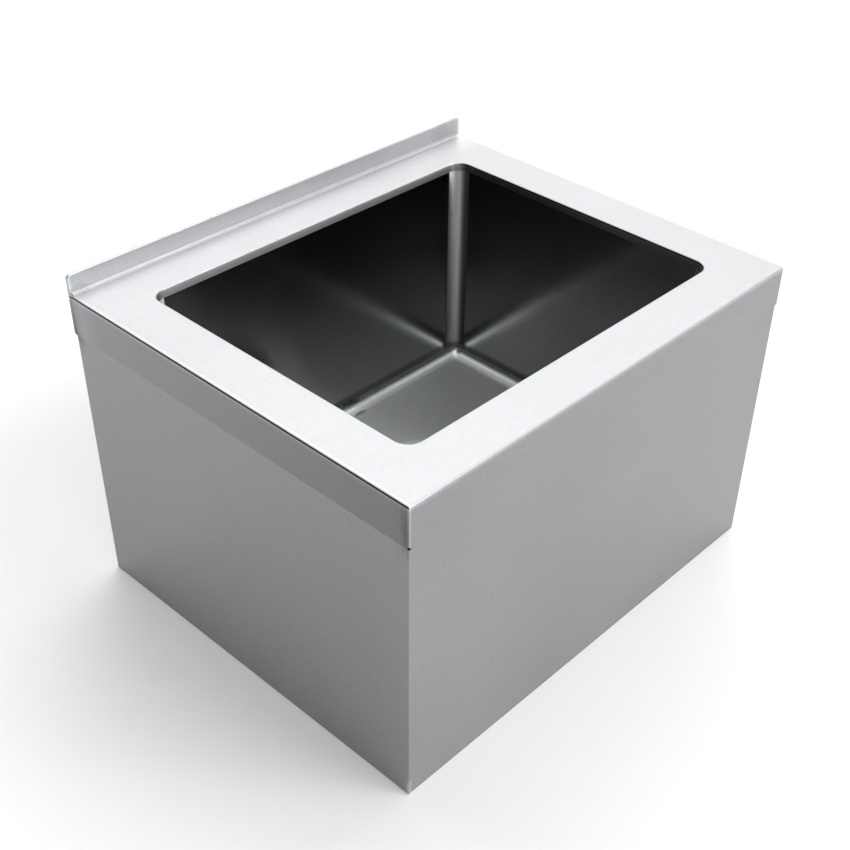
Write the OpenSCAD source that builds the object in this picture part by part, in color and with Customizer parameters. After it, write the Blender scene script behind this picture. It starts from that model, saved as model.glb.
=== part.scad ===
// Floor-standing mop service sink in folded sheet steel.
// A deck with a downturned apron and a low rear splash carries a deep coved bowl.
// Four skirt panels stand on the floor behind the apron, and a basket drain hangs in the bowl pan.
// Millimetres. +Z up, +Y towards the wall, origin on the floor under the middle of the deck.

/* [Deck] */
// Width of the deck, side to side
deck_w = 635; // [600:0.5:900]
// Depth of the deck, front to wall
deck_d = 533.4; // [500:0.1:750]
// Height of the deck above the floor
deck_h = 406.4; // [392:0.1:600]
// Thickness of the deck and bowl sheet
sheet_t = 1.5; // [1:0.1:2]
// Outside radius of the deck's folded edges
fold_r = 2.5; // [2.2:0.1:6]
// Height of the apron that hangs from the deck's edges
apron_h = 50.8; // [35:0.1:90]
// Diameter of the relief hole at each corner of the apron's lower edge
relief_d = 3; // [1.5:0.1:5]

/* [Splash] */
// Height of the splash above the deck
splash_h = 25.4; // [12:0.1:150]
// Thickness of the splash, which is a folded double sheet
splash_t = 4; // [2:0.1:6]
// Radius at the foot of the splash
splash_foot_r = 5; // [0.5:0.1:8]
// Radius of the splash's two top corners
splash_corner_r = 5.5; // [2:0.1:10]

/* [Bowl] */
// Inside width of the bowl
bowl_w = 508; // [400:0.5:540]
// Inside depth of the bowl, front to back
bowl_d = 406.4; // [350:0.1:440]
// Depth of the bowl below the deck
bowl_depth = 304.8; // [150:0.1:318]
// Radius of the bowl's corners and of the cove round its floor
cove_r = 19.05; // [8:0.05:40]
// Height of the lip folded down into the bowl
lip_h = 11; // [6:0.1:25]
// Outside radius of the fold round the bowl's opening
lip_fold_r = 1.8; // [1.6:0.1:4]
// How far the bowl walls stand back behind the lip
wall_setback = 0.5; // [0:0.05:0.9]
// Radius of the shallow dish round the drain
dish_r = 105; // [80:1:160]
// Fall of that dish towards the drain
dish_fall = 3; // [1:0.1:5]

/* [Skirt] */
// Thickness of the skirt sheet
skirt_t = 1.2; // [0.8:0.1:2]
// Height of the skirt that is hidden behind the apron
skirt_lap = 26; // [12:0.5:32]
// Width of the hem folded in along the floor
hem_w = 22; // [12:0.5:40]
// Outside radius of that hem's fold
hem_fold_r = 2; // [2:0.1:3]
// Gap left at the hems' mitred corners
mitre_gap = 0.4; // [0.1:0.1:2]
// Width of the upright flanges behind the corners
corner_flange_w = 18; // [10:0.5:40]
// Length of each leg of the corner gussets
gusset_leg = 64; // [35:1:110]
// Thickness of the corner gussets
gusset_t = 2; // [1:0.1:3]

/* [Drain body] */
// Diameter of the drain hole in the bowl
drain_hole_d = 88.9; // [84:0.1:100]
// Diameter of the drain's flange
flange_d = 114.3; // [110:0.1:120]
// Thickness of the drain's flange
flange_t = 2; // [1.5:0.1:3]
// Thickness of the seal under the flange
flange_seal_t = 1; // [0.5:0.1:2]
// Wall of the drain cup above its ledge
cup_wall = 2; // [1.5:0.1:3]
// Depth from the flange down to the basket's ledge
ledge_depth = 6; // [4:0.1:8]
// Width of the basket's ledge
ledge_w = 3; // [2.5:0.1:5]
// Depth from the flange down to the stopper's seat
seat_depth = 42; // [42:0.5:46]
// Thickness of the cup's floor
seat_t = 2.5; // [2:0.1:4]
// Bore of the outlet under the seat
outlet_d = 39; // [38.5:0.1:42]
// Outside diameter of the outlet's thread
outlet_thread_d = 48.2; // [47:0.1:52]
// Length of the outlet's thread
outlet_len = 18; // [16:0.5:20]
// Pitch of the outlet's and the cup's threads
thread_pitch = 2.2; // [1.5:0.1:3]
// Depth of the threads
thread_depth = 0.8; // [0.4:0.1:1]

/* [Drain fastening] */
// Diameter of the gasket and the washer under the bowl
gasket_d = 110; // [106:0.5:114]
// Thickness of the gasket
gasket_t = 3; // [1.5:0.1:5]
// Thickness of the washer
washer_t = 1; // [0.5:0.1:2]
// Height of the locknut
locknut_h = 10; // [7:0.5:14]
// Number of lugs on the locknut
locknut_lugs = 6; // [4:1:8]
// Size of the coupling nut across its flats
coupling_af = 56; // [55:0.5:64]
// Outside diameter of the tailpiece
tail_d = 38.1; // [37:0.1:38.2]
// Wall of the tailpiece
tail_wall = 1.3; // [1:0.1:2]
// Thickness of the tailpiece's flange
tail_flange_t = 1.5; // [1:0.1:2.5]
// Thickness of the washer on that flange
tail_washer_t = 2; // [1:0.1:3]
// Length of the tailpiece below its flange, down to the waste pipe in the floor
tail_len = 28.6; // [20:0.1:120]

/* [Basket] */
// Depth of the basket below the ledge
basket_depth = 20; // [14:0.5:20.5]
// Wall of the basket
basket_wall = 1; // [0.8:0.1:1.5]
// Number of slots round the basket
basket_slots = 24; // [12:1:30]
// Width of a slot
slot_w = 2.6; // [1.5:0.1:4]
// Diameter of a hole in the basket's plate
drip_hole_d = 3.4; // [2:0.1:4.5]

/* [Stopper] */
// Diameter of the stem
stem_d = 8; // [6:0.1:10]
// Travel of the stem between sealed and draining
stem_travel = 8; // [3:0.5:8]
// Diameter of the rubber stopper
stopper_d = 54; // [46:0.5:64]
// Thickness of the stopper
stopper_t = 4; // [3:0.1:4.5]
// Diameter of the knob
knob_d = 20; // [14:0.5:24]
// Height of the knob
knob_h = 11; // [8:0.5:14]

/* [Hidden] */
$fn = 96;

// Clearances
running = 0.05;       // radial, stem in its bush
thread_clear = 0.15;  // radial, nut on a thread
slip_clear = 0.7;     // radial, tube in the coupling nut's lip
tip_clear = 0.35;     // radial, stem's tip in the crosspiece
ring_clear = 0.1;     // radial, ring in its recess
washer_clear = 0.5;   // radial, seal, gasket and washer round the cup
gusset_clear = 0.5;   // gusset from the hem's fold
basket_clear = 0.8;   // radial, basket in the drain
hole_clear = 1.45;    // radial, cup in the bowl's hole
flange_clear = 1.5;   // radial, flange in its recess
coupling_gap = 4;     // nut from the cup above it
travel_gap = 0.2;     // collar from the bush at the end of its travel
cut = 1;              // how far a cutting shape runs past what it cuts

// Levels of the sheet metal
bowl_floor_z = deck_h - bowl_depth;
lip_z = deck_h - lip_h;
apron_z = deck_h - apron_h;
skirt_top_z = apron_z + skirt_lap;
splash_top_z = deck_h + splash_h;

// Plan of the skirt box, which stands inside the apron
skirt_x = deck_w / 2 - sheet_t;
skirt_y = deck_d / 2 - sheet_t;
flange_foot_z = 2 * skirt_t + gusset_t;

// Levels of the drain, from the flange's top down
flange_z = bowl_floor_z - dish_fall;
recess_z = flange_z - flange_t - flange_seal_t;
pan_under_z = recess_z - sheet_t;
gasket_z = pan_under_z - gasket_t;
washer_z = gasket_z - washer_t;
locknut_z = washer_z - locknut_h;
ledge_z = flange_z - ledge_depth;
seat_z = flange_z - seat_depth;
cup_under_z = seat_z - seat_t;
outlet_z = cup_under_z - outlet_len;
tail_washer_z = outlet_z - tail_washer_t;
tail_flange_z = tail_washer_z - tail_flange_t;
coupling_lip = 2.5;
coupling_z = tail_flange_z - coupling_lip;
coupling_top_z = cup_under_z - coupling_gap;

// Bevels of the drain
chamfer = 0.6;
mouth_bevel = 1.2;
cup_bevel = 3;
flange_bevel = 3;
rim_inset = 1;

// Radii of the drain
flange_r = flange_d / 2;
recess_r = flange_r + flange_clear;
hole_r = drain_hole_d / 2;
shank_r = hole_r - hole_clear;
cup_r = shank_r - cup_wall;
well_r = cup_r - ledge_w;
outlet_r = outlet_d / 2;
outlet_thread_r = outlet_thread_d / 2;
tail_r = tail_d / 2;
tail_bore_r = tail_r - tail_wall;
tail_flange_r = outlet_thread_r - thread_depth;

// The crosspiece stands on a shoulder in the outlet, below the nut under the stopper
retainer_t = 3;
cross_t = 2.5;
cross_gap = 3.5;
cross_z = seat_z - retainer_t - cross_gap - cross_t;
cross_hub_w = 3;
cross_bars = 4;
cross_bar_w = 3;

// Basket and stopper
rim_r = cup_r - basket_clear;
rim_t = 1.2;
basket_land = 2;
basket_r = well_r - basket_clear;
basket_bore_r = basket_r - basket_wall;
basket_floor_z = ledge_z - basket_depth;
stem_tip = 1;
stem_step = 2;
stem_r = stem_d / 2;
stem_root_r = stem_r - stem_tip;
bush_r = stem_r + stem_step;
bush_lip_r = bush_r + stem_step;
bush_lip_t = 1.5;
bush_under_z = basket_floor_z - bush_lip_t;
collar_r = stem_r + stem_step;
collar_z = seat_z + stopper_t;
retainer_af = stem_d + 3 * stem_step;
stopper_r = stopper_d / 2;
knob_drop = 4;
knob_top_t = 3;
knob_r = knob_d / 2;
knob_z = flange_z - knob_drop - knob_h;
knob_socket = knob_h - knob_top_t;

module rounded_rect(w, d, r) {
  square([w - 2 * r, d], center = true);
  square([w, d - 2 * r], center = true);
  for (sx = [-1, 1], sy = [-1, 1])
    translate([sx * (w / 2 - r), sy * (d / 2 - r)]) circle(r);
}

// Its children, and the same mirrored left to right
module both_sides() {
  children();
  mirror([1, 0, 0]) children();
}

module ring(r_out, r_in, z, h) {
  translate([0, 0, z])
    difference() {
      cylinder(r = r_out, h = h);
      translate([0, 0, -cut]) cylinder(r = r_in, h = h + 2 * cut);
    }
}

// Carries a section round a rounded rectangle. The section's first axis points outwards from
// the wall of that rectangle, and its second axis points up. At a corner it ends on the axis.
module sweep_round(w, d, r) {
  side_x = w - 2 * r;
  side_y = d - 2 * r;
  corner = [[1, 1], [-1, 1], [-1, -1], [1, -1]];
  for (i = [0:3]) {
    translate([corner[i][0] * side_x / 2, corner[i][1] * side_y / 2])
      rotate([0, 0, 90 * i]) rotate_extrude(angle = 90)
        intersection() {
          translate([r, 0]) children();
          translate([0, -w / 2]) square(w);
        }
    span = i % 2 == 0 ? side_y : side_x;
    reach = i % 2 == 0 ? side_x : side_y;
    rotate([0, 0, 90 * i]) translate([reach / 2 + r, span / 2, 0])
      rotate([90, 0, 0]) linear_extrude(span) children();
  }
}

// Section of a sheet folded once: a leg up, a leg inwards, and the fold's outside radius
module folded_section(t, r, up, inwards) {
  translate([0, r]) square([t, up - r]);
  translate([r, 0]) square([inwards - r, t]);
  intersection() {
    square(r);
    translate([r, r])
      difference() {
        circle(r);
        circle(r - t);
      }
  }
}

// Block under the deck's outside, brought in by an inset and rounded along its folded edges
module deck_block(inset, r, z_low) {
  x = deck_w / 2 - inset;
  y = deck_d / 2 - inset;
  top = deck_h - inset;
  intersection() {
    translate([0, 0, z_low])
      linear_extrude(top - z_low)
        union() {
          translate([-x, 0]) square([2 * x, y]);
          translate([-x, r - y]) square([2 * x, y - r]);
          translate([r - x, -y]) square([2 * (x - r), y]);
          for (s = [-1, 1]) translate([s * (x - r), r - y]) circle(r);
        }
    translate([0, y + cut, 0]) rotate([90, 0, 0])
      linear_extrude(2 * (y + cut))
        union() {
          translate([-x, z_low - cut]) square([2 * x, top - r - z_low + cut]);
          translate([r - x, z_low]) square([2 * (x - r), top - z_low]);
          for (s = [-1, 1]) translate([s * (x - r), top - r]) circle(r);
        }
    translate([-x - cut, 0, 0]) rotate([90, 0, 90])
      linear_extrude(2 * (x + cut))
        union() {
          translate([-y, z_low - cut]) square([2 * y + cut, top - r - z_low + cut]);
          translate([r - y, z_low]) square([2 * y - r + cut, top - z_low]);
          translate([r - y, top - r]) circle(r);
        }
  }
}

module splash() {
  r = splash_t / 2;
  foot_z = deck_h - fold_r;
  back = deck_d / 2;
  intersection() {
    translate([-deck_w / 2, 0, 0]) rotate([90, 0, 90])
      linear_extrude(deck_w)
        union() {
          translate([back - splash_t, foot_z]) square([splash_t, splash_top_z - r - foot_z]);
          translate([back - r, splash_top_z - r]) circle(r);
        }
    translate([0, back + cut, 0]) rotate([90, 0, 0])
      linear_extrude(splash_t + 2 * cut)
        union() {
          translate([-deck_w / 2, foot_z - cut])
            square([deck_w, splash_top_z - splash_corner_r - foot_z + cut]);
          translate([splash_corner_r - deck_w / 2, foot_z])
            square([deck_w - 2 * splash_corner_r, splash_top_z - foot_z]);
          for (s = [-1, 1])
            translate([s * (deck_w / 2 - splash_corner_r), splash_top_z - splash_corner_r])
              circle(splash_corner_r);
        }
  }
}

module splash_foot() {
  length = deck_w - 2 * fold_r;
  translate([-length / 2, deck_d / 2 - splash_t, deck_h]) rotate([90, 0, 90])
    linear_extrude(length)
      difference() {
        translate([-splash_foot_r, -sheet_t / 2])
          square([splash_foot_r + sheet_t / 2, splash_foot_r + sheet_t / 2]);
        translate([-splash_foot_r, splash_foot_r]) circle(splash_foot_r);
      }
}

// One sheet: the flat deck with its apron, the lip into the bowl and the splash
module deck() {
  color([0.86, 0.87, 0.88])
    difference() {
      union() {
        difference() {
          deck_block(0, fold_r, apron_z);
          deck_block(sheet_t, fold_r - sheet_t, apron_z - cut);
        }
        translate([0, 0, lip_z])
          linear_extrude(lip_h - sheet_t / 2)
            rounded_rect(bowl_w + 2 * sheet_t, bowl_d + 2 * sheet_t, cove_r + sheet_t);
        splash();
        splash_foot();
      }
      translate([0, 0, lip_z - cut])
        linear_extrude(lip_h + 2 * cut) rounded_rect(bowl_w, bowl_d, cove_r);
      translate([0, 0, deck_h])
        sweep_round(bowl_w, bowl_d, cove_r)
          difference() {
            translate([-cut, -lip_fold_r]) square([lip_fold_r + cut, lip_fold_r + cut]);
            translate([lip_fold_r, -lip_fold_r]) circle(lip_fold_r);
          }
      corner_reliefs();
    }
}

// Four bowl walls bent from one strip, with round upright corners
module bowl_walls() {
  w = bowl_w + 2 * wall_setback;
  d = bowl_d + 2 * wall_setback;
  r = cove_r + wall_setback;
  foot_z = bowl_floor_z + r;
  color([0.45, 0.46, 0.47])
    translate([0, 0, foot_z])
      difference() {
        linear_extrude(lip_z - foot_z)
          rounded_rect(w + 2 * sheet_t, d + 2 * sheet_t, r + sheet_t);
        translate([0, 0, -cut])
          linear_extrude(lip_z - foot_z + 2 * cut) rounded_rect(w, d, r);
      }
}

// Pressed bowl floor: coved edges, ball corners, a shallow dish and the drain's recess
module bowl_pan() {
  w = bowl_w + 2 * wall_setback;
  d = bowl_d + 2 * wall_setback;
  r = cove_r + wall_setback;
  color([0.6, 0.61, 0.61])
    difference() {
      union() {
        translate([0, 0, bowl_floor_z])
          sweep_round(w, d, r)
            intersection() {
              translate([-r, -sheet_t]) square([r + sheet_t, r + sheet_t]);
              translate([-r, r])
                difference() {
                  circle(r + sheet_t);
                  circle(r);
                }
            }
        translate([0, 0, bowl_floor_z - sheet_t / 2])
          cube([w - 2 * r, d - 2 * r, sheet_t], center = true);
        translate([0, 0, flange_z - sheet_t])
          cylinder(r1 = recess_r + sheet_t, r2 = dish_r, h = dish_fall);
        translate([0, 0, pan_under_z])
          cylinder(r = recess_r + sheet_t, h = flange_z - pan_under_z);
      }
      translate([0, 0, flange_z])
        cylinder(r1 = recess_r + sheet_t, r2 = dish_r, h = dish_fall);
      translate([0, 0, recess_z]) cylinder(r = recess_r, h = flange_z - recess_z + cut);
      translate([0, 0, pan_under_z - cut]) cylinder(r = hole_r, h = sheet_t + 2 * cut);
    }
}

// A straight skirt panel of half length "reach", seen from outside at y = -at
module skirt_panel(reach, at) {
  translate([-reach, -at, 0]) rotate([90, 0, 90])
    linear_extrude(2 * reach)
      folded_section(skirt_t, hem_fold_r, skirt_top_z, hem_w);
}

// Drills aslant through the four corners at the apron's lower edge
module corner_reliefs() {
  reach = 3 * sheet_t + 2 * skirt_t;
  for (turn = [0, 180])
    rotate([0, 0, turn])
      both_sides()
        translate([deck_w / 2, deck_d / 2, apron_z])
          rotate([0, 0, 45]) rotate([0, 90, 0])
            cylinder(d = relief_d, h = 2 * reach, center = true);
}

// Wedge that mitres both ends of a panel's hem, from the inside corner of the upright sheets
module mitre_cut(reach, at) {
  inner = at - skirt_t;
  deep = hem_w + cut;
  both_sides()
    translate([0, 0, -cut])
      linear_extrude(hem_fold_r + 2 * cut)
        polygon([
          [reach - mitre_gap, -inner],
          [reach - mitre_gap - deep, deep - inner],
          [reach + 2 * deep, deep - inner],
          [reach + 2 * deep, -inner]
        ]);
}

module end_skirt() {
  difference() {
    intersection() {
      skirt_panel(skirt_x, skirt_y);
      translate([0, 0, -cut])
        linear_extrude(skirt_top_z + 2 * cut)
          rounded_rect(2 * skirt_x, 2 * skirt_y, skirt_t);
    }
    mitre_cut(skirt_x - skirt_t, skirt_y);
    corner_reliefs();
  }
}

// The side panels stand between the front and rear ones, with an upright flange behind each
module side_skirt() {
  reach = skirt_y - skirt_t;
  difference() {
    rotate([0, 0, -90]) {
      difference() {
        skirt_panel(reach, skirt_x);
        mitre_cut(reach, skirt_x);
      }
      both_sides()
        translate([reach - skirt_t, skirt_t / 2 - skirt_x, flange_foot_z])
          cube([skirt_t, corner_flange_w - skirt_t / 2, skirt_top_z - flange_foot_z]);
    }
    corner_reliefs();
  }
}

module front_skirt() {
  color([0.66, 0.67, 0.67]) end_skirt();
}

module rear_skirt() {
  color([0.66, 0.67, 0.67]) rotate([0, 0, 180]) end_skirt();
}

module left_skirt() {
  color([0.55, 0.55, 0.55]) side_skirt();
}

module right_skirt() {
  color([0.55, 0.55, 0.55]) rotate([0, 0, 180]) side_skirt();
}

// Triangular plates on the hems tie the four panels together at the floor
module corner_gussets() {
  inset = hem_fold_r + gusset_clear;
  x = skirt_x - inset;
  y = skirt_y - inset;
  color([0.6, 0.6, 0.6])
    for (turn = [0, 180])
      rotate([0, 0, turn])
        both_sides()
          translate([x, y, skirt_t])
            linear_extrude(gusset_t)
              polygon([[0, 0], [-gusset_leg, 0], [0, -gusset_leg]]);
}

// Outside wall of a thread from its foot up, with each turn as a ring: points of a section
function thread_points(r, foot, top) = [
  for (turn = [0:floor((top - foot) / thread_pitch) - 1])
    for (p = [[1, 0], [1, 0.15], [0, 0.45], [0, 0.55], [1, 0.85]])
      [r - p[0] * thread_depth, foot + (turn + p[1]) * thread_pitch]
];

module drain_body() {
  color([0.8, 0.8, 0.8])
    rotate_extrude()
      polygon(concat(
        [
          [outlet_r, seat_z - chamfer],
          [outlet_r, cross_z],
          [tail_bore_r, cross_z],
          [tail_bore_r, outlet_z],
          [outlet_thread_r - 2 * thread_depth, outlet_z]
        ],
        thread_points(outlet_thread_r, outlet_z + chamfer, cup_under_z - chamfer),
        [
          [outlet_thread_r - thread_depth, cup_under_z],
          [shank_r - cup_bevel, cup_under_z],
          [shank_r - thread_depth, cup_under_z + cup_bevel]
        ],
        thread_points(shank_r, cup_under_z + cup_bevel + chamfer, washer_z),
        [
          [shank_r, washer_z],
          [shank_r, recess_z + flange_seal_t],
          [flange_r, recess_z + flange_seal_t],
          [flange_r, flange_z - flange_t / 2],
          [flange_r - flange_bevel, flange_z],
          [cup_r + mouth_bevel, flange_z],
          [cup_r, flange_z - mouth_bevel],
          [cup_r, ledge_z],
          [well_r + chamfer, ledge_z],
          [well_r, ledge_z - chamfer],
          [well_r, seat_z + cup_bevel],
          [well_r - cup_bevel, seat_z],
          [outlet_r + chamfer, seat_z]
        ]
      ));
}

module drain_crosspiece() {
  outer = outlet_r - ring_clear;
  hub_r = stem_r + cross_hub_w;
  color([0.75, 0.75, 0.75]) {
    ring(outer, tail_bore_r, cross_z, cross_t);
    difference() {
      union() {
        translate([0, 0, cross_z]) cylinder(r = hub_r, h = cross_t);
        for (i = [0:cross_bars - 1])
          rotate([0, 0, i * 360 / cross_bars])
            translate([0, -cross_bar_w / 2, cross_z])
              cube([tail_bore_r + 0.5, cross_bar_w, cross_t]);
      }
      translate([0, 0, cross_z - cut])
        cylinder(r = stem_root_r + tip_clear, h = cross_t + 2 * cut);
    }
  }
}

module flange_seal() {
  color([0.15, 0.15, 0.15])
    ring(flange_r - rim_inset, hole_r + washer_clear, recess_z, flange_seal_t);
}

module bowl_gasket() {
  color([0.12, 0.12, 0.12]) ring(gasket_d / 2, shank_r + washer_clear, gasket_z, gasket_t);
}

module friction_washer() {
  color([0.75, 0.68, 0.55])
    ring(gasket_d / 2 - rim_inset, shank_r + washer_clear, washer_z, washer_t);
}

module locknut() {
  lug_reach = 4;
  lug_w = 10;
  lug_r = gasket_d / 2;
  body_r = lug_r - lug_reach;
  collar_h = 3;
  color([0.7, 0.7, 0.68])
    difference() {
      union() {
        translate([0, 0, locknut_z + locknut_h - collar_h])
          cylinder(r = lug_r, h = collar_h);
        translate([0, 0, locknut_z]) cylinder(r = body_r, h = locknut_h);
        for (i = [0:locknut_lugs - 1])
          rotate([0, 0, i * 360 / locknut_lugs])
            translate([body_r - cut, -lug_w / 2, locknut_z])
              cube([lug_reach, lug_w, locknut_h]);
      }
      translate([0, 0, locknut_z - cut])
        cylinder(r = shank_r + thread_clear, h = locknut_h + 2 * cut);
    }
}

module coupling_washer() {
  color([0.9, 0.9, 0.86])
    ring(tail_flange_r, tail_bore_r, tail_washer_z, tail_washer_t);
}

module coupling_nut() {
  h = coupling_top_z - coupling_z;
  flat_r = coupling_af / 2;
  corner_r = flat_r / cos(30);
  cone_h = h + corner_r - flat_r;
  color([0.78, 0.78, 0.76])
    difference() {
      translate([0, 0, coupling_z])
        intersection() {
          cylinder(r = corner_r, h = h, $fn = 6);
          cylinder(r1 = flat_r, r2 = flat_r + cone_h, h = cone_h);
          translate([0, 0, h - cone_h]) cylinder(r1 = flat_r + cone_h, r2 = flat_r, h = cone_h);
        }
      translate([0, 0, coupling_z + coupling_lip])
        cylinder(r = outlet_thread_r + thread_clear, h = h);
      translate([0, 0, coupling_z - cut])
        cylinder(r = tail_r + slip_clear, h = h);
    }
}

module tailpiece() {
  color([0.82, 0.82, 0.82]) {
    ring(tail_flange_r, tail_bore_r, tail_flange_z, tail_flange_t);
    ring(tail_r, tail_bore_r, tail_flange_z - tail_len, tail_len + tail_flange_t / 2);
  }
}

// Slotted wall and rim of the basket
module strainer_basket() {
  slot_head = 3;
  slot_foot = basket_wall + basket_land;
  slot_h = basket_depth - slot_foot - slot_head;
  color([0.83, 0.84, 0.85])
    difference() {
      rotate_extrude()
        polygon([
          [basket_bore_r, basket_floor_z],
          [basket_r - chamfer, basket_floor_z],
          [basket_r, basket_floor_z + chamfer],
          [basket_r, ledge_z],
          [rim_r, ledge_z],
          [rim_r, ledge_z + rim_t / 2],
          [rim_r - rim_t / 2, ledge_z + rim_t],
          [basket_bore_r + chamfer, ledge_z + rim_t],
          [basket_bore_r, ledge_z + rim_t - chamfer]
        ]);
      for (i = [0:basket_slots - 1])
        rotate([0, 0, i * 360 / basket_slots])
          translate([basket_bore_r - cut, -slot_w / 2, basket_floor_z + slot_foot])
            cube([basket_wall + 2 * cut, slot_w, slot_h]);
    }
}

// Perforated plate welded into the foot of the basket's wall
module basket_plate() {
  hole_rings = 3;
  hole_web = 3;
  pitch = drip_hole_d + hole_web;
  first_ring = bush_lip_r + drip_hole_d;
  last_ring = basket_bore_r - basket_land - drip_hole_d;
  color([0.8, 0.81, 0.82])
    difference() {
      ring(basket_bore_r, bush_r, basket_floor_z, basket_wall);
      for (k = [0:hole_rings - 1]) {
        r = first_ring + k * (last_ring - first_ring) / (hole_rings - 1);
        count = floor(2 * PI * r / pitch);
        for (i = [0:count - 1])
          rotate([0, 0, i * 360 / count])
            translate([r, 0, basket_floor_z - cut])
              cylinder(d = drip_hole_d, h = basket_wall + 2 * cut, $fn = 24);
      }
    }
}

// Flanged bush that guides the stem through the basket's plate
module stem_bush() {
  lip_under_z = basket_floor_z + basket_wall;
  color([0.8, 0.65, 0.35])
    rotate_extrude()
      polygon([
        [stem_r + running, bush_under_z],
        [bush_r - running, bush_under_z],
        [bush_r - running, lip_under_z],
        [bush_lip_r, lip_under_z],
        [bush_lip_r, lip_under_z + bush_lip_t - chamfer],
        [bush_lip_r - chamfer, lip_under_z + bush_lip_t],
        [stem_r + running, lip_under_z + bush_lip_t]
      ]);
}

// Stem with a collar that presses the stopper down and meets the bush at the end of its travel.
// Its tip centres in the crosspiece.
module stem() {
  tip_z = cross_z - stem_tip;
  top_z = knob_z + knob_socket;
  collar_top_z = bush_under_z - stem_travel - travel_gap;
  color([0.8, 0.8, 0.78])
    rotate_extrude()
      polygon([
        [0, tip_z],
        [stem_root_r - stem_tip, tip_z],
        [stem_root_r, tip_z + stem_tip],
        [stem_root_r, collar_z],
        [collar_r, collar_z],
        [collar_r, collar_top_z],
        [stem_r, collar_top_z],
        [stem_r, top_z - chamfer],
        [stem_r - chamfer, top_z],
        [0, top_z]
      ]);
}

module stopper() {
  root_r = stem_root_r + running;
  edge = stopper_t / 4;
  color([0.1, 0.1, 0.1])
    rotate_extrude()
      polygon([
        [root_r, seat_z],
        [stopper_r - edge, seat_z],
        [stopper_r, seat_z + edge],
        [stopper_r, seat_z + 2 * edge],
        [stopper_r - 3 * edge, collar_z - edge / 2],
        [collar_r + 3 * edge, collar_z],
        [root_r, collar_z]
      ]);
}

// Hexagon nut that holds the stopper up against the collar
module stopper_retainer() {
  color([0.8, 0.8, 0.78])
    translate([0, 0, seat_z - retainer_t])
      difference() {
        cylinder(r = retainer_af / 2 / cos(30), h = retainer_t, $fn = 6);
        translate([0, 0, -cut]) cylinder(r = stem_root_r + running, h = retainer_t + 2 * cut);
      }
}

module stem_knob() {
  waist = 2.5;
  flare = 1.5;
  grip_h = 3.5;
  top_edge = 2 * chamfer;
  top_z = knob_z + knob_h;
  color([0.82, 0.82, 0.83])
    difference() {
      rotate_extrude()
        polygon([
          [0, knob_z],
          [collar_r, knob_z],
          [knob_r - waist, knob_z + flare],
          [knob_r - waist, top_z - grip_h - flare],
          [knob_r, top_z - grip_h],
          [knob_r, top_z - top_edge],
          [knob_r - top_edge, top_z],
          [0, top_z]
        ]);
      translate([0, 0, knob_z - cut])
        cylinder(r = stem_r + running, h = knob_socket + cut);
    }
}

deck();
bowl_walls();
bowl_pan();
front_skirt();
rear_skirt();
left_skirt();
right_skirt();
corner_gussets();
drain_body();
drain_crosspiece();
flange_seal();
bowl_gasket();
friction_washer();
locknut();
coupling_washer();
coupling_nut();
tailpiece();
strainer_basket();
basket_plate();
stem_bush();
stem();
stopper();
stopper_retainer();
stem_knob();
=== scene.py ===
import math

import bpy
from mathutils import Matrix, Vector


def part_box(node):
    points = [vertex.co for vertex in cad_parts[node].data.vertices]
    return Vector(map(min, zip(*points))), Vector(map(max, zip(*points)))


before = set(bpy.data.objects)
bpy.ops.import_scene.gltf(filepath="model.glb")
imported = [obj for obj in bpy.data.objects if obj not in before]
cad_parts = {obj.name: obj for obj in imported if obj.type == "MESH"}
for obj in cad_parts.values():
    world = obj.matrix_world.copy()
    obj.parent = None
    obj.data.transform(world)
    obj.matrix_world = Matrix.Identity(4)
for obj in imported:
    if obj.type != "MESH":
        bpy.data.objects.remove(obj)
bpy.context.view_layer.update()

bl_info = {
    "name": "Mop Service Sink",
    "version": (1, 0, 0),
    "blender": (4, 5, 0),
    "location": "View3D > Sidebar > Sink",
    "description": "Dresses the folded-steel mop service sink and sets up its studio",
    "category": "Object",
}


# ---------------------------------------------------------------- node helpers

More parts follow.
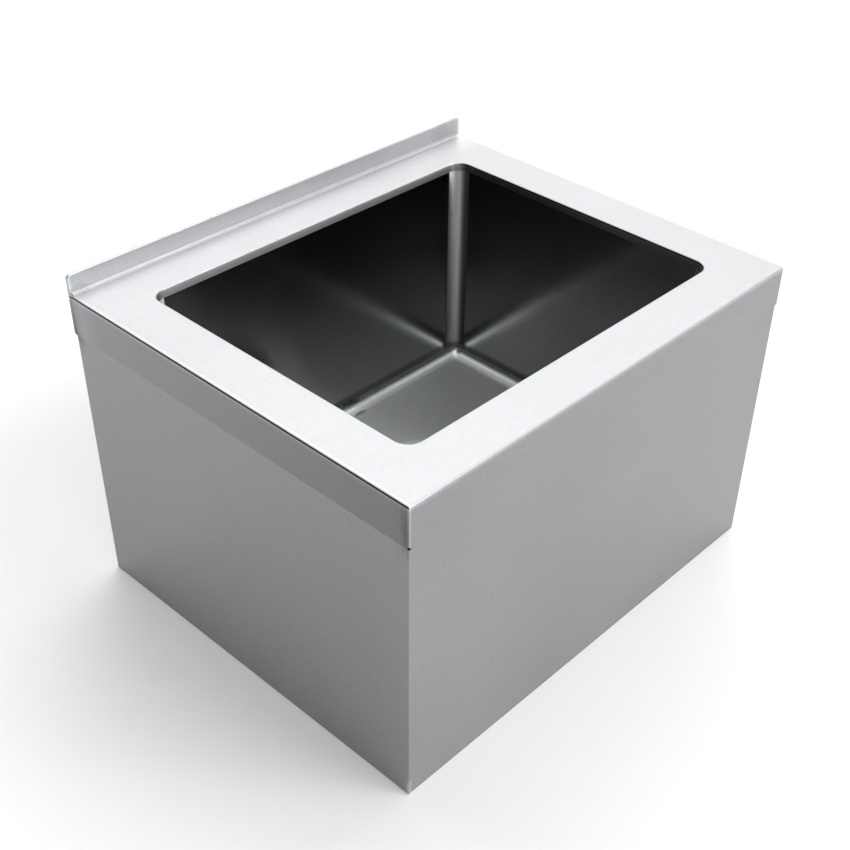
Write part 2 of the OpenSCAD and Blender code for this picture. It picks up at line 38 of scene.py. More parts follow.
class Nodes:
    """A short way to write a node tree: a call adds nodes and gives an output socket. What it works
    on may be a number or another node's socket."""

    def __init__(self, tree):
        self.tree = tree
        tree.nodes.clear()

    def add(self, kind, inputs=None, out=0, **settings):
        node = self.tree.nodes.new(kind)
        for key, value in settings.items():
            setattr(node, key, value)
        for key, value in (inputs or {}).items():
            if isinstance(value, bpy.types.NodeSocket):
                self.tree.links.new(value, node.inputs[key])
            else:
                node.inputs[key].default_value = value
        return node.outputs[out] if node.outputs else None

    def math(self, operation, a, b=0.0):
        return self.add("ShaderNodeMath", {0: a, 1: b}, operation=operation)

    def minus(self, a, b):
        return self.math("SUBTRACT", a, b)

    def above(self, value, limit):
        """1 where value is more than limit, else 0."""
        return self.math("GREATER_THAN", value, limit)

    def below(self, value, limit):
        """1 where value is less than limit, else 0."""
        return self.math("LESS_THAN", value, limit)

    def times(self, first, *others):
        for other in others:
            first = self.math("MULTIPLY", first, other)
        return first

    def spread(self, value, low, high, start=0.0, end=1.0):
        """low up to where value is start, high from where it is end, and even between them."""
        return self.add("ShaderNodeMapRange", {0: value, 1: start, 2: end, 3: low, 4: high})

    def marked(self, shade, mask, factor):
        """shade, and shade times factor where mask is 1."""
        return self.times(shade, self.spread(mask, 1.0, factor))

    def mix(self, factor, a, b):
        return self.add("ShaderNodeMix", {0: factor, 2: a, 3: b}, data_type="FLOAT")

    def mix_vectors(self, factor, a, b):
        return self.add("ShaderNodeMix", {0: factor, 4: a, 5: b}, out=1, data_type="VECTOR")

    def vector(self, operation, a, b=(0.0, 0.0, 0.0), out="Vector"):
        return self.add("ShaderNodeVectorMath", {0: a, 1: b}, out=out, operation=operation)

    def scale(self, vector, factor):
        return self.add("ShaderNodeVectorMath", {0: vector, "Scale": factor}, operation="SCALE")

    def split(self, vector):
        """The vector's x, y and z."""
        return self.add("ShaderNodeSeparateXYZ", {0: vector}).node.outputs[:]

    def place(self):
        """Where the point is on the object, in metres."""
        return self.add("ShaderNodeTexCoord", out="Object")

    def stretched(self, vector, scale):
        return self.add("ShaderNodeMapping", {"Vector": vector, "Scale": scale})

    def noise(self, vector, scale, detail, rough=0.5):
        return self.add(
            "ShaderNodeTexNoise",
            {"Vector": vector, "Scale": scale, "Detail": detail, "Roughness": rough}, out="Fac")

    def bump(self, height, strength, distance):
        return self.add(
            "ShaderNodeBump", {"Strength": strength, "Distance": distance, "Height": height},
            out="Normal")


def new_material(name):
    material = bpy.data.materials.new(name)
    material.use_nodes = True
    return material, Nodes(material.node_tree)


def finish_material(n, **inputs):
    """Ends a material in a Principled shader. Each input is named with _ for a space."""
    named = {name.replace("_", " "): value for name, value in inputs.items()}
    shader = n.add("ShaderNodeBsdfPrincipled", named)
    n.add("ShaderNodeOutputMaterial", {"Surface": shader})


# ---------------------------------------------------------------- sheet steel

SHEET_BUMP = 0.02           # strength of the brushed grain's relief
GRAIN = "YXX"               # axis that the streaks follow on faces that look along X, Y and Z
GRAIN_FINE = 900.0          # streaks a metre, across them and along them
GRAIN_LONG = 6.0
AXES = {"X": (1.0, 0.0, 0.0), "Y": (0.0, 1.0, 0.0), "Z": (0.0, 0.0, 1.0)}
DIAGONAL = 0.7071           # cosine of 45 degrees: the most that a face turns from what it faces
CLOUDS = 7.0                # slow clouds and fine mottle in the steel, in spots a metre
MOTTLE = 170.0
CLOUDED = (0.94, 1.06)      # the colour's factor in the clouds and in the mottle
MOTTLED = (0.975, 1.025)
ROUGHNESS_SWING = 0.03      # how far the roughness goes either way with the clouds
CLOUD_REACH = (0.25, 0.75)  # the part of a noise's range that the clouds and the mottle use
MOTTLE_REACH = (0.35, 0.65)
STREAK_SPREAD = 0.85        # how much farther the streaks spread light across than along
STREAK_DEPTH = 0.0004       # their depth, in metres
PATCH_RAGS = 220.0          # size of the rags at a patch's edge, in rags a metre
PATCH_FADE = (0.55, 1.1)    # where a patch starts to fade and is gone, in half sizes
REAR_FACING = 0.5           # least y of a normal that looks back


def grain(n):
    """Where the point is, its normal, the height of the streaks there, and the direction across
    them, which the light spreads in."""
    place = n.place()
    normal = n.add("ShaderNodeNewGeometry", out="Normal")
    streaks = along = None
    for toward, follow in zip(n.split(normal), GRAIN):
        scale = [GRAIN_FINE] * 3
        scale["XYZ".index(follow)] = GRAIN_LONG
        streak = n.noise(n.stretched(place, scale), 1.0, 3.0, 0.6)
        if streaks is None:
            streaks, along = streak, AXES[follow]
            continue
        faces = n.above(n.math("ABSOLUTE", toward), DIAGONAL)
        streaks = n.mix(faces, streaks, streak)
        along = n.mix_vectors(faces, along, AXES[follow])
    return place, normal, streaks, n.vector("CROSS_PRODUCT", normal, along)


def ragged_patch(n, place, centre, size):
    """A ragged spot round centre, 1 inside and 0 outside; size is half its length each way."""
    apart = n.vector("DIVIDE", n.vector("SUBTRACT", place, centre), size)
    far = n.vector("LENGTH", apart, out="Value")
    rags = n.spread(n.noise(place, PATCH_RAGS, 2.0), -0.5, 0.5, 0.3, 0.7)
    return n.spread(n.math("ADD", far, rags), 1.0, 0.0, *PATCH_FADE)


def brushed_steel(name, color, rough, marks, patches=(), bump=SHEET_BUMP, metal=1.0):
    """Sheet steel with its grain, clouds and patches. marks is the function for the piece's own
    marks and
    painted light and shade: it gives the colour's factor and what they add to the roughness."""
    material, n = new_material(name)
    place, normal, streaks, across = grain(n)
    cloud = n.noise(place, CLOUDS, 4.0, 0.55)
    both = n.math("ADD", n.times(streaks, 0.5), n.times(cloud, 0.5))
    mottle = n.spread(n.noise(place, MOTTLE, 3.0, 0.6), *MOTTLED, *MOTTLE_REACH)
    shade = n.times(mottle, n.spread(both, *CLOUDED, *CLOUD_REACH))
    not_rear = n.below(n.split(normal)[1], REAR_FACING)
    for centre, size, factor in patches:
        shade = n.marked(shade, n.times(not_rear, ragged_patch(n, place, centre, size)), factor)
    factor, rougher = marks(n, place, normal)
    roughness = n.spread(both, rough - ROUGHNESS_SWING, rough + ROUGHNESS_SWING, *CLOUD_REACH)
    finish_material(
        n, Base_Color=n.vector("MULTIPLY", n.scale(color[:3], shade), factor), Metallic=metal,
        Roughness=n.math("ADD", roughness, rougher), Anisotropic=STREAK_SPREAD, Tangent=across,
        Normal=n.bump(streaks, bump, STREAK_DEPTH))
    return material


# ---------------------------------------------------------------- painted light and shade, and marks, on the deck and skirts

DECK_LOW, DECK_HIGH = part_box("deck")
CORNER = (DECK_HIGH.x, DECK_HIGH.y, DECK_LOW.z)  # an upright corner, at the apron's lower edge
APRON = 0.0508              # height of the apron
DECK_TOP = 0.4064           # height of the deck
FOLD = 0.0025               # radius of the deck's folds
RELIEF = 0.0023             # radius that takes in the drilled relief at each corner
SIDE_EDGE_HIGHLIGHT = (-0.0045, -0.0012)  # inside the deck's ends, where the painted highlight along the side edges starts and is whole
SIDE_EDGE_HIGHLIGHT_FOOT = APRON - 0.0007  # from the apron's lower edge up to that painted highlight
FOLD_SHADOW_FOOT = APRON - 0.0022  # and up to the painted shade in the fold under it
DARKER_STREAKS_REACH = (-0.022, -0.004)   # how far from the corner, and under it, the darker streaks start and are whole
DARKER_STREAKS_TOP = (0.05, 0.35)   # height over the corner, and what is left of the darker streaks there
DARKER_STREAKS_SCALE = (1.0, 160.0, 18.0)  # streaks in that darker part, a metre each way
# The colour's factor on each of those: painted highlight on the upright edges, painted shadow in
# the reliefs, the darker streaks, painted highlight along the side edges and painted shade in the
# fold
CORNER_EDGE_HIGHLIGHT_SHADE = 1.35
RELIEF_SHADOW_SHADE = 0.03
DARKER_STREAKS_SHADE = 0.48
SIDE_EDGE_HIGHLIGHT_SHADE = 1.45
FOLD_SHADOW_SHADE = 0.1

# Painted shade on the apron and the splash's foot and painted light beside and up the splash: axis,
# where a step of tone starts and ends along it, and the colour's factor before and after
DECK_PAINTED_LEVELS = (
    (2, DECK_TOP - 0.0069, DECK_TOP - 0.0024, 0.70, 1.0),
    (1, 0.2150, 0.2575, 1.0, 1.23),
    (1, 0.2606, 0.2610, 1.0, 0.81),
    (2, DECK_TOP + 0.0007, DECK_TOP + 0.0011, 1.0, 0.75),
    (2, DECK_TOP + 0.0022, DECK_TOP + 0.0026, 1.0, 1.23),
    (2, DECK_TOP + 0.0040, DECK_TOP + 0.0066, 1.0, 1.13),
)
SPLASH_END_SHADE = 0.68     # painted shade on the splash's two ends, as the colour's factor
REAR_SHADE = 0.82           # and painted shade on all faces that look back, which get it in place of the steps
BOWL_HALF = (0.254, 0.2032)  # half the bowl's width and depth, which the deck's lip stands round
LIP_REACH = 0.0013          # how far outside it the lip still reaches
LIP_PAINTED_SHADES = (0.5, 1.5)     # painted shade on the lip's side faces and painted light on its front and rear, as the colour's factor
LIP_TURN = (0.3, 0.95)      # y of a normal between which the one turns into the other
UPRIGHT = 0.5               # most z of the normal of an upright face
APRON_SHADE_TONES = ((0.71, 0.688, 0.652), (0.88, 0.882, 0.885))  # painted shade on the side aprons, at the front and rear
APRON_REACH = 0.26          # how far either way from the middle those tones reach

# Patches, darker on the splash near its ends and brighter at the skirts' front left foot: centre,
# half size each way, and the colour's factor
DECK_PATCHES = (
    ((-0.306, 0.2627, 0.411), (0.018, 0.006, 0.006), 0.86),
    ((0.292, 0.2627, 0.420), (0.030, 0.006, 0.014), 0.84),
)
SKIRT_PATCHES = (((-0.3155, -0.2652, 0.0088), (0.005, 0.005, 0.012), 1.45),)


def corner_marks(n, place, normal):
    """The colour's factor at the deck's corners: a painted highlight on the upright edges, painted
    shadow in the drilled reliefs, darker streaks beside them, a painted highlight along the left
    and right edges and painted shade in the fold under those."""
    x, y, z = n.split(n.vector("SUBTRACT", n.vector("ABSOLUTE", place), CORNER))
    corner_edge_highlight = n.times(n.above(x, -FOLD), n.above(y, -FOLD), n.above(z, 0.0))
    aside = n.times(n.minus(x, y), DIAGONAL)
    from_drill = n.math("SQRT", n.math("ADD", n.times(aside, aside), n.times(z, z)))
    side_face = n.above(n.math("ABSOLUTE", n.split(normal)[0]), DIAGONAL)
    streaks = n.noise(n.stretched(place, DARKER_STREAKS_SCALE), 1.0, 2.0)
    top, left = DARKER_STREAKS_TOP
    darker_streaks = n.times(
        n.spread(y, 0.0, 1.0, *DARKER_STREAKS_REACH), n.spread(z, 0.0, 1.0, *DARKER_STREAKS_REACH),
        n.spread(z, 1.0, left, 0.0, top), n.spread(streaks, 0.2, 1.0, 0.35, 0.6), side_face)
    side_edge_highlight = n.times(n.spread(x, 0.0, 1.0, *SIDE_EDGE_HIGHLIGHT), n.above(z, SIDE_EDGE_HIGHLIGHT_FOOT))
    fold_shadow = n.times(side_face, n.below(z, SIDE_EDGE_HIGHLIGHT_FOOT), n.above(z, FOLD_SHADOW_FOOT))
    shade = 1.0
    for mask, factor in (
            (corner_edge_highlight, CORNER_EDGE_HIGHLIGHT_SHADE), (n.below(from_drill, RELIEF), RELIEF_SHADOW_SHADE),
            (darker_streaks, DARKER_STREAKS_SHADE), (side_edge_highlight, SIDE_EDGE_HIGHLIGHT_SHADE), (fold_shadow, FOLD_SHADOW_SHADE)):
        shade = n.marked(shade, mask, factor)
    return shade


def splash_marks(n, place, normal):
    """The colour's factor for the painted light and shade on the apron and the splash, in steps of
    tone, and on the faces that look back."""
    where, facing = n.split(place), n.split(normal)
    shade = 1.0
    for axis, start, end, before, after in DECK_PAINTED_LEVELS:
        shade = n.times(shade, n.spread(where[axis], before, after, start, end))
    end_face = n.above(n.math("ABSOLUTE", facing[0]), DIAGONAL)
    splash_end = n.times(end_face, n.above(where[2], DECK_TOP + 0.0002))
    shade = n.marked(shade, splash_end, SPLASH_END_SHADE)
    return n.mix(n.above(facing[1], REAR_FACING), shade, REAR_SHADE)


def lip_marks(n, place, normal):
    """Painted shade and light on the lip that stands down into the bowl, by which way its faces
    look.
    """
    side, depth, _ = n.split(n.vector("ABSOLUTE", place))
    _, toward_y, toward_z = n.split(n.vector("ABSOLUTE", normal))
    within = [n.below(way, half + LIP_REACH) for way, half in zip((side, depth), BOWL_HALF)]
    lip = n.times(*within, n.below(toward_z, UPRIGHT))
    return n.mix(lip, 1.0, n.spread(toward_y, *LIP_PAINTED_SHADES, *LIP_TURN))


def apron_painted_shade(n, place, normal):
    """Painted shade on the side aprons, darker and warmer towards the front, and white elsewhere.
    """
    toward_x = n.split(n.vector("ABSOLUTE", normal))[0]
    _, depth, height = n.split(place)
    toned = n.times(n.above(toward_x, DIAGONAL), n.below(height, CORNER[2] + SIDE_EDGE_HIGHLIGHT_FOOT))
    rear = n.spread(depth, 0.0, 1.0, -APRON_REACH, APRON_REACH)
    return n.mix_vectors(toned, (1.0, 1.0, 1.0), n.mix_vectors(rear, *APRON_SHADE_TONES))


def deck_marks(n, place, normal):
    """All the deck's painted light and shade and other marks; none of them changes its roughness.
    """
    shade = n.times(*(make(n, place, normal) for make in (corner_marks, splash_marks, lip_marks)))
    return n.scale(apron_painted_shade(n, place, normal), shade), 0.0


def skirt_marks(n, place, normal):
    """The skirts' share of the painted highlights, painted shade and darker streaks at the deck's
    corners.
    """
    return corner_marks(n, place, normal), 0.0


# ---------------------------------------------------------------- painted light and shade, and marks, in the bowl

BOWL_CORNER = 0.01905       # radius of the bowl's upright corners and of its coves
BOWL_FLOOR = 0.1016         # height of the bowl's floor
BOWL_FLAT = tuple(half - BOWL_CORNER for half in BOWL_HALF)  # half the walls' flat length
CORNER_EDGE = 0.0015        # width over which the walls' finish turns into the corners'

WALL_CORNER_HIGHLIGHT_RISE = (0.12, 0.39, 1.4)  # heights over which the upright corners' painted highlight grows; how steeply
WALL_CORNER_HIGHLIGHT_GAIN = 1.3          # how much brighter that painted highlight makes them, as a share
GROUND_ROUGH = 0.39         # how much rougher they are
WALL_CORNER_REFLECTION = (1.8, 0.35)      # painted reflection across the upright corners: the colour's factor beside the long wall and the short one
WALL_CORNER_REFLECTION_REACH = (0.15, 0.7)  # where round the corner that painted reflection starts and is whole, in radii
FOOT = (0.1206, 0.1275, 0.3)  # heights between which the painted shade at the walls' foot ends, and its factor
UPPER = (0.27, 0.37, 0.5)   # heights between which painted shade darkens the flat walls, and to what factor

# Painted shade high in the pan's cove and a painted highlight low down: pairs of heights over the
# floor, and the colour's factor at each
COVE_PAINTED_LEVELS = (
    (0.0125, 0.0145, 1.0, 0.35), (0.0040, 0.0085, 1.0, 0.25), (0.0, 0.0010, 1.0, 1.4))
COVE_EDGE = (0.0004, 0.002)  # heights over the floor between which the coves turn smoother
COVE_SMOOTH = -0.1          # what that adds to the roughness
WELD_IN = 0.004             # how far inside the coves' foot the weld line runs
WELD_WIDTH = (0.0004, 0.001)  # half the width of the line, where it starts to fade and is gone
WELD_SHADE = 1.175          # the colour's factor on the line

# Dark patches under the lip near the far right corner and in and beside the back cove: centre, half
# size each way, and the colour's factor
WALL_PATCHES = (((0.2275, 0.2037, 0.389), (0.004, 0.004, 0.007), 0.25),)
PAN_PATCHES = (
    ((0.041, 0.2037, 0.113), (0.020, 0.004, 0.005), 0.3),
    ((0.047, 0.1875, 0.1016), (0.010, 0.003, 0.003), 0.4),
)


def beyond_flat(n, place):
    """How far the point lies past the walls' flat parts, each way."""
    x, y, _ = n.split(n.vector("ABSOLUTE", place))
    return n.minus(x, BOWL_FLAT[0]), n.minus(y, BOWL_FLAT[1])


def wall_marks(n, place, normal):
    """The upright corners, where the weld was ground rough, with a painted highlight that grows
    upwards and a painted reflection across them, and painted shade at the walls' foot and high on
    the walls."""
    height = n.split(place)[2]
    past_x, past_y = beyond_flat(n, place)
    seam = n.times(*(n.spread(past, 0.0, 1.0, 0.0, CORNER_EDGE) for past in (past_x, past_y)))
    low, high, gain = WALL_CORNER_HIGHLIGHT_RISE
    bright = n.times(seam, n.spread(height, 0.0, gain, low, high))
    round_it = n.minus(past_x, past_y)
    start, end = (reach * BOWL_CORNER for reach in WALL_CORNER_REFLECTION_REACH)
    wall_corner_reflection = n.times(
        n.spread(round_it, WALL_CORNER_REFLECTION[0], 1.0, -end, -start),
        n.spread(round_it, 1.0, WALL_CORNER_REFLECTION[1], start, end))
    upper = n.spread(height, 1.0, UPPER[2], *UPPER[:2])
    shade = n.times(
        n.spread(bright, 1.0, 1.0 + WALL_CORNER_HIGHLIGHT_GAIN), n.mix(seam, 1.0, wall_corner_reflection),
        n.spread(height, FOOT[2], 1.0, *FOOT[:2]), n.mix(seam, upper, 1.0))
    return shade, n.spread(seam, 0.0, GROUND_ROUGH)


def pan_marks(n, place, normal):
    """The pan's smoother coves with painted shade up high and a painted highlight low down, and the
    weld line along their foot.
    """
    over_floor = n.minus(n.split(place)[2], BOWL_FLOOR)
    past = n.math("MAXIMUM", *beyond_flat(n, place))
    from_weld = n.math("ABSOLUTE", n.math("ADD", past, WELD_IN))
    shade = n.spread(from_weld, WELD_SHADE, 1.0, *WELD_WIDTH)
    for low, high, before, after in COVE_PAINTED_LEVELS:
        shade = n.times(shade, n.spread(over_floor, before, after, low, high))
    return shade, n.spread(over_floor, 0.0, COVE_SMOOTH, *COVE_EDGE)


# ---------------------------------------------------------------- the drain's materials

TURNING = 1500.0            # turning marks a metre
TURNED_CLOUDS = 60.0        # clouds a metre in turned metal, and the colour's factor in them
TURNED_CLOUDED = (0.94, 1.04)
SPECKLE = 400.0             # speckles a metre in moulded and cast stuff
SPECKLED = (0.88, 1.06)     # the colour's factor in them


def turned_metal(name, color, rough, bump=0.05):
    """Metal with fine turning marks round the drain's axis."""
    material, n = new_material(name)
    place = n.place()
    from_axis = n.vector("LENGTH", n.vector("MULTIPLY", place, (1.0, 1.0, 0.0)), out="Value")
    marks = n.add(
        "ShaderNodeTexNoise", {"W": from_axis, "Scale": TURNING, "Detail": 2.0}, out="Fac",
        noise_dimensions="1D")
    clouded = n.spread(n.noise(place, TURNED_CLOUDS, 3.0), *TURNED_CLOUDED)
    finish_material(
        n, Base_Color=n.scale(color, clouded), Metallic=1.0,
        Roughness=n.spread(marks, rough - 0.06, rough + 0.06, 0.3, 0.7),
        Normal=n.bump(marks, bump, 0.0002))
    return material


def speckled(name, color, rough, metallic=0.0, scale=SPECKLE, factors=SPECKLED):
    """Moulded, pressed or cast stuff: fine speckle in its colour, gloss and surface."""
    material, n = new_material(name)
    place = n.place()
    fine = n.noise(place, scale, 3.0)
    both = n.math("ADD", n.times(fine, 0.6), n.times(n.noise(place, 25.0, 2.0), 0.4))
    finish_material(
        n, Base_Color=n.scale(color, n.spread(both, *factors)), Metallic=metallic,
        Roughness=n.spread(both, rough - 0.08, rough + 0.08, 0.3, 0.7),
        Normal=n.bump(fine, 0.1, 0.0003))
    return material


def dress(material, *nodes):
    """Gives CAD nodes their material."""
    for node in nodes:
        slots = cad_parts[node].data.materials
        slots.clear()
        slots.append(material)


# ---------------------------------------------------------------- colours and settings

class SinkSteel(bpy.types.PropertyGroup):
    # All four tints are one steel: set darker on the skirts and bowl walls and lighter on the bowl
    # floor than on the deck, as painted shade and painted light
    deck_tint: bpy.props.FloatVectorProperty(
        name="Deck colour", description="Colour of the deck's brushed steel",
        subtype="COLOR", size=3, min=0.0, max=1.0, default=(0.429, 0.435, 0.445))
    bowl_tint: bpy.props.FloatVectorProperty(
        name="Bowl colour", description="Colour of the bowl floor's satin steel",
        subtype="COLOR", size=3, min=0.0, max=1.0, default=(0.69, 0.715, 0.712))
    wall_tint: bpy.props.FloatVectorProperty(
        name="Bowl wall colour", description="Colour of the bowl walls' smooth steel",
        subtype="COLOR", size=3, min=0.0, max=1.0, default=(0.205, 0.208, 0.212))
    skirt_tint: bpy.props.FloatVectorProperty(
        name="Skirt colour", description="Colour of the skirts' brushed steel",
        subtype="COLOR", size=3, min=0.0, max=1.0, default=(0.312, 0.314, 0.305))
    deck_rough: bpy.props.FloatProperty(
        name="Deck roughness", description="Mean roughness of the deck",
        subtype="FACTOR", min=0.05, max=1.0, default=0.38)
    wall_rough: bpy.props.FloatProperty(
        name="Bowl wall roughness", description="Mean roughness of the bowl's walls",
        subtype="FACTOR", min=0.05, max=1.0, default=0.14)
    floor_rough: bpy.props.FloatProperty(
        name="Bowl floor roughness", description="Mean roughness of the bowl's floor",
        subtype="FACTOR", min=0.05, max=1.0, default=0.36)
    skirt_rough: bpy.props.FloatProperty(
        name="Skirt roughness", description="Mean roughness of the skirts",
        subtype="FACTOR", min=0.05, max=1.0, default=0.42)


class StudioLight(bpy.types.PropertyGroup):
    level: bpy.props.FloatProperty(
        name="Level", description="Strength of all the soft lamps together",
        min=0.0, max=5.0, default=1.0)
    room_strength: bpy.props.FloatProperty(
        name="Room", description="Brightness of the room all round",
        min=0.0, max=5.0, default=0.14)
    horizon_strength: bpy.props.FloatProperty(
        name="Horizon", description="Brightness of the pale band of room above the floor's edge",
        min=0.0, max=5.0, default=1.1)


class StudioCamera(bpy.types.PropertyGroup):
    place: bpy.props.FloatVectorProperty(
        name="Place", description="Where the camera stands",
        subtype="TRANSLATION", size=3, default=(-0.9773, -0.9166, 1.1681))
    azimuth: bpy.props.FloatProperty(
        name="Azimuth", description="Direction the camera looks in, clockwise from +Y",
        subtype="ANGLE", default=math.radians(48.749))
    elevation: bpy.props.FloatProperty(
        name="Elevation", description="How far the camera looks down",
        subtype="ANGLE", default=math.radians(37.327))
    roll: bpy.props.FloatProperty(
        name="Roll", description="Tilt of the camera",
        subtype="ANGLE", default=math.radians(2.105))
    lens: bpy.props.FloatProperty(
        name="Lens", description="Focal length on a 36 mm sensor, in millimetres",
        min=10.0, max=200.0, default=56.13)
    shift: bpy.props.FloatVectorProperty(
        name="Shift", description="Shift of the lens, in picture widths",
        size=2, default=(-0.0533, 0.0419))


# ---------------------------------------------------------------- pieces

class SINK_OT_deck(bpy.types.Operator):
    """Brush the deck, its apron, lip and splash"""
    bl_idname = "sink.deck"
    bl_label = "Deck"

    def execute(self, context):
        steel = context.scene.sink_steel
        brushed = brushed_steel(
            "deck_steel", steel.deck_tint, steel.deck_rough, deck_marks, DECK_PATCHES)
        dress(brushed, "deck")
        return {"FINISHED"}


class SINK_OT_bowl(bpy.types.Operator):
    """Finish the bowl's walls and its pressed floor"""
    bl_idname = "sink.bowl"
    bl_label = "Bowl"

    def execute(self, context):
        steel = context.scene.sink_steel
        smooth = brushed_steel(
            "bowl_wall_steel", steel.wall_tint, steel.wall_rough, wall_marks, WALL_PATCHES,
            bump=0.008)
        # Metallic under 1 keeps some matt scatter, which lights the floor between the dark walls
        satin = brushed_steel(
            "bowl_floor_steel", steel.bowl_tint, steel.floor_rough, pan_marks, PAN_PATCHES,
            metal=0.64)
        dress(smooth, "bowl_walls")
        dress(satin, "bowl_pan")
        return {"FINISHED"}


class SINK_OT_skirts(bpy.types.Operator):
    """Brush the four skirt panels and the gussets between them"""
    bl_idname = "sink.skirts"
    bl_label = "Skirts"

    def execute(self, context):
        steel = context.scene.sink_steel
        brushed = brushed_steel(
            "skirt_steel", steel.skirt_tint, steel.skirt_rough, skirt_marks, SKIRT_PATCHES)
        dress(brushed, "front_skirt", "rear_skirt", "left_skirt", "right_skirt", "corner_gussets")
        return {"FINISHED"}


BRASS = (0.50, 0.36, 0.14)


class SINK_OT_drain(bpy.types.Operator):
    """Finish the drain under the bowl and what clamps it"""
    bl_idname = "sink.drain"
    bl_label = "Drain"

    def execute(self, context):
        turned = turned_metal("turned_steel", (0.46, 0.46, 0.46), 0.24)
        rubber = speckled("black_rubber", (0.03, 0.03, 0.03), 0.62)
        zinc = speckled("cast_zinc", (0.38, 0.385, 0.39), 0.5, metallic=1.0)
        fibre = speckled(
            "fibre_washer", (0.36, 0.27, 0.15), 0.75, scale=250.0, factors=(0.7, 1.2))
        plastic = speckled("white_plastic", (0.74, 0.74, 0.68), 0.45)
        plated = turned_metal("plated_tube", (0.54, 0.54, 0.55), 0.14, bump=0.01)
        dress(turned, "drain_body", "drain_crosspiece")
        dress(rubber, "flange_seal", "bowl_gasket")
        dress(zinc, "locknut", "coupling_nut")
        dress(fibre, "friction_washer")
        dress(plastic, "coupling_washer")
        dress(plated, "tailpiece")
        return {"FINISHED"}


class SINK_OT_basket(bpy.types.Operator):
    """Finish the lift-out strainer basket and its bush"""
    bl_idname = "sink.basket"
    bl_label = "Strainer basket"

    def execute(self, context):
        dress(turned_metal("basket_steel", (0.45, 0.45, 0.45), 0.27), "strainer_basket")
        dress(turned_metal("basket_plate_steel", (0.43, 0.43, 0.43), 0.32), "basket_plate")
        dress(turned_metal("brass_bush", BRASS, 0.3), "stem_bush")
        return {"FINISHED"}


class SINK_OT_stopper(bpy.types.Operator):
    """Finish the stopper, its stem, nut and knob"""
    bl_idname = "sink.stopper"
    bl_label = "Stopper"

    def execute(self, context):
        dress(speckled("stopper_rubber", (0.025, 0.025, 0.026), 0.55), "stopper")
        dress(
            turned_metal("plated_stem", (0.52, 0.52, 0.53), 0.12, bump=0.01), "stem", "stem_knob")
        dress(turned_metal("brass_nut", BRASS, 0.32), "stopper_retainer")
        return {"FINISHED"}


# ---------------------------------------------------------------- studio

FLOOR_SIZE = 40.0
FLOOR_SHADOW_TONES = (0.86, 0.95)        # painted shadow: the floor's tone near the sink, and farther out
FLOOR_SHADOW_CENTRE = (-0.25, 0.2, 0.0)  # middle of the painted shadow near the sink
FLOOR_SHADOW_REACH = (0.35, 1.3)         # how far from that middle the painted shadow starts to fade and ends
HORIZON = (0.06, 0.20)            # heights of a direction between which the pale band fades
LAMP_DISTANCE = 2.0
SENSOR = 36.0                     # width of the camera's sensor, in millimetres

# Soft lamps round the sink: name, azimuth and elevation that the light comes from, width as seen
# from the sink (all in degrees), and strength in watts a square metre
LAMPS = (
    ("rear", 0, 37, 30, 0.54),
    ("rear_right", 46, 37, 46, 0.95),
    ("rear_right_high", 49, 60, 40, 0.47),
    ("right", 90, 37, 30, 0.52),
    ("front_right", 131, 37, 30, 0.45),
    ("front_right_low", 131, 14, 25, 0.13),
    ("front", 155, 37, 30, 1.19),
    ("front_low", 180, 14, 25, 0.32),
    ("front_left", 205, 37, 30, 0.35),
    ("left", 229, 37, 30, 0.64),
    ("left_high", 229, 60, 40, 0.17),
    ("overhead", 0, 88, 70, 0.30),
)


def toward(azimuth, elevation):
    """The direction at an azimuth, clockwise from +Y, and an elevation."""
    level = math.cos(elevation)
    return Vector((math.sin(azimuth) * level, math.cos(azimuth) * level, math.sin(elevation)))


class SINK_OT_stage(bpy.types.Operator):
    """Lay the pale studio floor, with a painted shadow near the sink"""
    bl_idname = "sink.stage"
    bl_label = "Floor"

    def execute(self, context):
        bpy.ops.mesh.primitive_plane_add(size=FLOOR_SIZE, location=(0.0, 0.0, 0.0))
        floor = context.active_object
        floor.name = "studio_floor"
        material, n = new_material("studio_floor")
        away = n.vector("DISTANCE", n.place(), FLOOR_SHADOW_CENTRE, out="Value")
        tone = n.spread(away, *FLOOR_SHADOW_TONES, *FLOOR_SHADOW_REACH)
        finish_material(
            n, Base_Color=n.add("ShaderNodeCombineColor", {0: tone, 1: tone, 2: tone}),
            Roughness=0.9, Specular_IOR_Level=0.2)
        floor.data.materials.append(material)
        return {"FINISHED"}


class SINK_OT_lights(bpy.types.Operator):
    """Set up the soft studio light"""
    bl_idname = "sink.lights"
    bl_label = "Lights"

    def execute(self, context):
        light = context.scene.sink_light
        world = bpy.data.worlds.new("studio_room")
        world.use_nodes = True
        n = Nodes(world.node_tree)
        height = n.split(n.add("ShaderNodeTexCoord", out="Generated"))[2]
        fade = n.spread(height, light.horizon_strength, light.room_strength, *HORIZON)
        room = n.add("ShaderNodeBackground", {"Color": (1.0, 1.0, 1.0, 1.0), "Strength": fade})
        n.add("ShaderNodeOutputWorld", {"Surface": room})
        context.scene.world = world

        for name, azimuth, elevation, width, power in LAMPS:
            lamp = bpy.data.lights.new("lamp_" + name, "SUN")
            lamp.energy = power * light.level
            lamp.angle = math.radians(width)
            holder = bpy.data.objects.new("lamp_" + name, lamp)
            context.scene.collection.objects.link(holder)
            source = toward(math.radians(azimuth), math.radians(elevation))
            holder.location = LAMP_DISTANCE * source
            holder.rotation_euler = (-source).to_track_quat("-Z", "Y").to_euler()
        return {"FINISHED"}


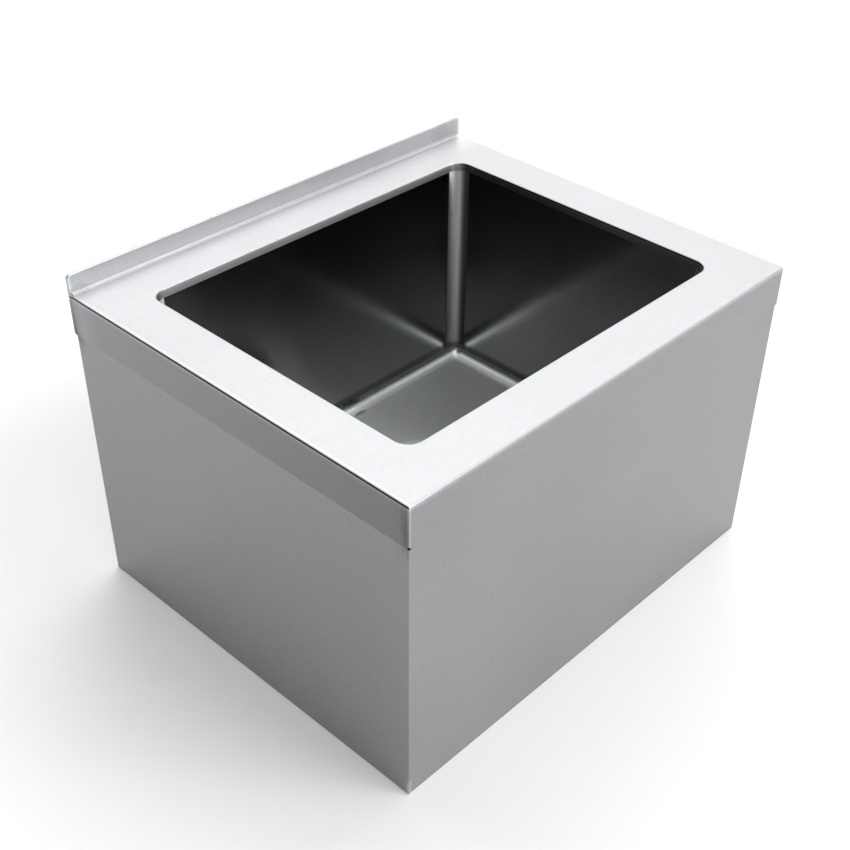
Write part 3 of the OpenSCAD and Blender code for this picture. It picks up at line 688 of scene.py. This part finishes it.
class SINK_OT_camera(bpy.types.Operator):
    """Put the camera at the photograph's view"""
    bl_idname = "sink.camera"
    bl_label = "Camera"

    def execute(self, context):
        view = context.scene.sink_camera
        forward = toward(view.azimuth, -view.elevation)
        right = Vector((math.cos(view.azimuth), -math.sin(view.azimuth), 0.0))
        up = right.cross(forward)
        x = right * math.cos(view.roll) + up * math.sin(view.roll)
        y = up * math.cos(view.roll) - right * math.sin(view.roll)
        data = bpy.data.cameras.new("photo_camera")
        data.sensor_width = SENSOR
        data.lens = view.lens
        data.shift_x, data.shift_y = view.shift
        camera = bpy.data.objects.new("photo_camera", data)
        context.scene.collection.objects.link(camera)
        turn = Matrix((x, y, -forward)).transposed().to_4x4()
        camera.matrix_world = Matrix.Translation(Vector(view.place)) @ turn
        context.scene.camera = camera
        context.scene.view_settings.view_transform = "Standard"
        return {"FINISHED"}


# ---------------------------------------------------------------- panel and registration

PIECES = (
    SINK_OT_deck, SINK_OT_bowl, SINK_OT_skirts, SINK_OT_drain, SINK_OT_basket, SINK_OT_stopper)
STUDIO = (SINK_OT_stage, SINK_OT_lights, SINK_OT_camera)
SETTINGS = (
    ("sink_steel", SinkSteel), ("sink_light", StudioLight), ("sink_camera", StudioCamera))


class SINK_PT_panel(bpy.types.Panel):
    bl_idname = "SINK_PT_panel"
    bl_label = "Mop service sink"
    bl_space_type = "VIEW_3D"
    bl_region_type = "UI"
    bl_category = "Sink"

    def draw(self, context):
        for title, operators in (("Pieces", PIECES), ("Studio", STUDIO)):
            column = self.layout.column(align=True)
            column.label(text=title)
            for operator in operators:
                column.operator(operator.bl_idname)
        for name, group in SETTINGS:
            column = self.layout.column(align=True)
            for prop in group.__annotations__:
                column.prop(getattr(context.scene, name), prop)


CLASSES = tuple(group for _, group in SETTINGS) + PIECES + STUDIO + (SINK_PT_panel,)


def register():
    for cls in CLASSES:
        bpy.utils.register_class(cls)
    for name, group in SETTINGS:
        setattr(bpy.types.Scene, name, bpy.props.PointerProperty(type=group))


def unregister():
    for name, _ in SETTINGS:
        delattr(bpy.types.Scene, name)
    for cls in reversed(CLASSES):
        bpy.utils.unregister_class(cls)


def main():
    register()
    bpy.ops.sink.deck()
    bpy.ops.sink.bowl()
    bpy.ops.sink.skirts()
    bpy.ops.sink.drain()
    bpy.ops.sink.basket()
    bpy.ops.sink.stopper()
    bpy.ops.sink.stage()
    bpy.ops.sink.lights()
    bpy.ops.sink.camera()
    bpy.context.view_layer.update()


if __name__ == "__main__":
    main()
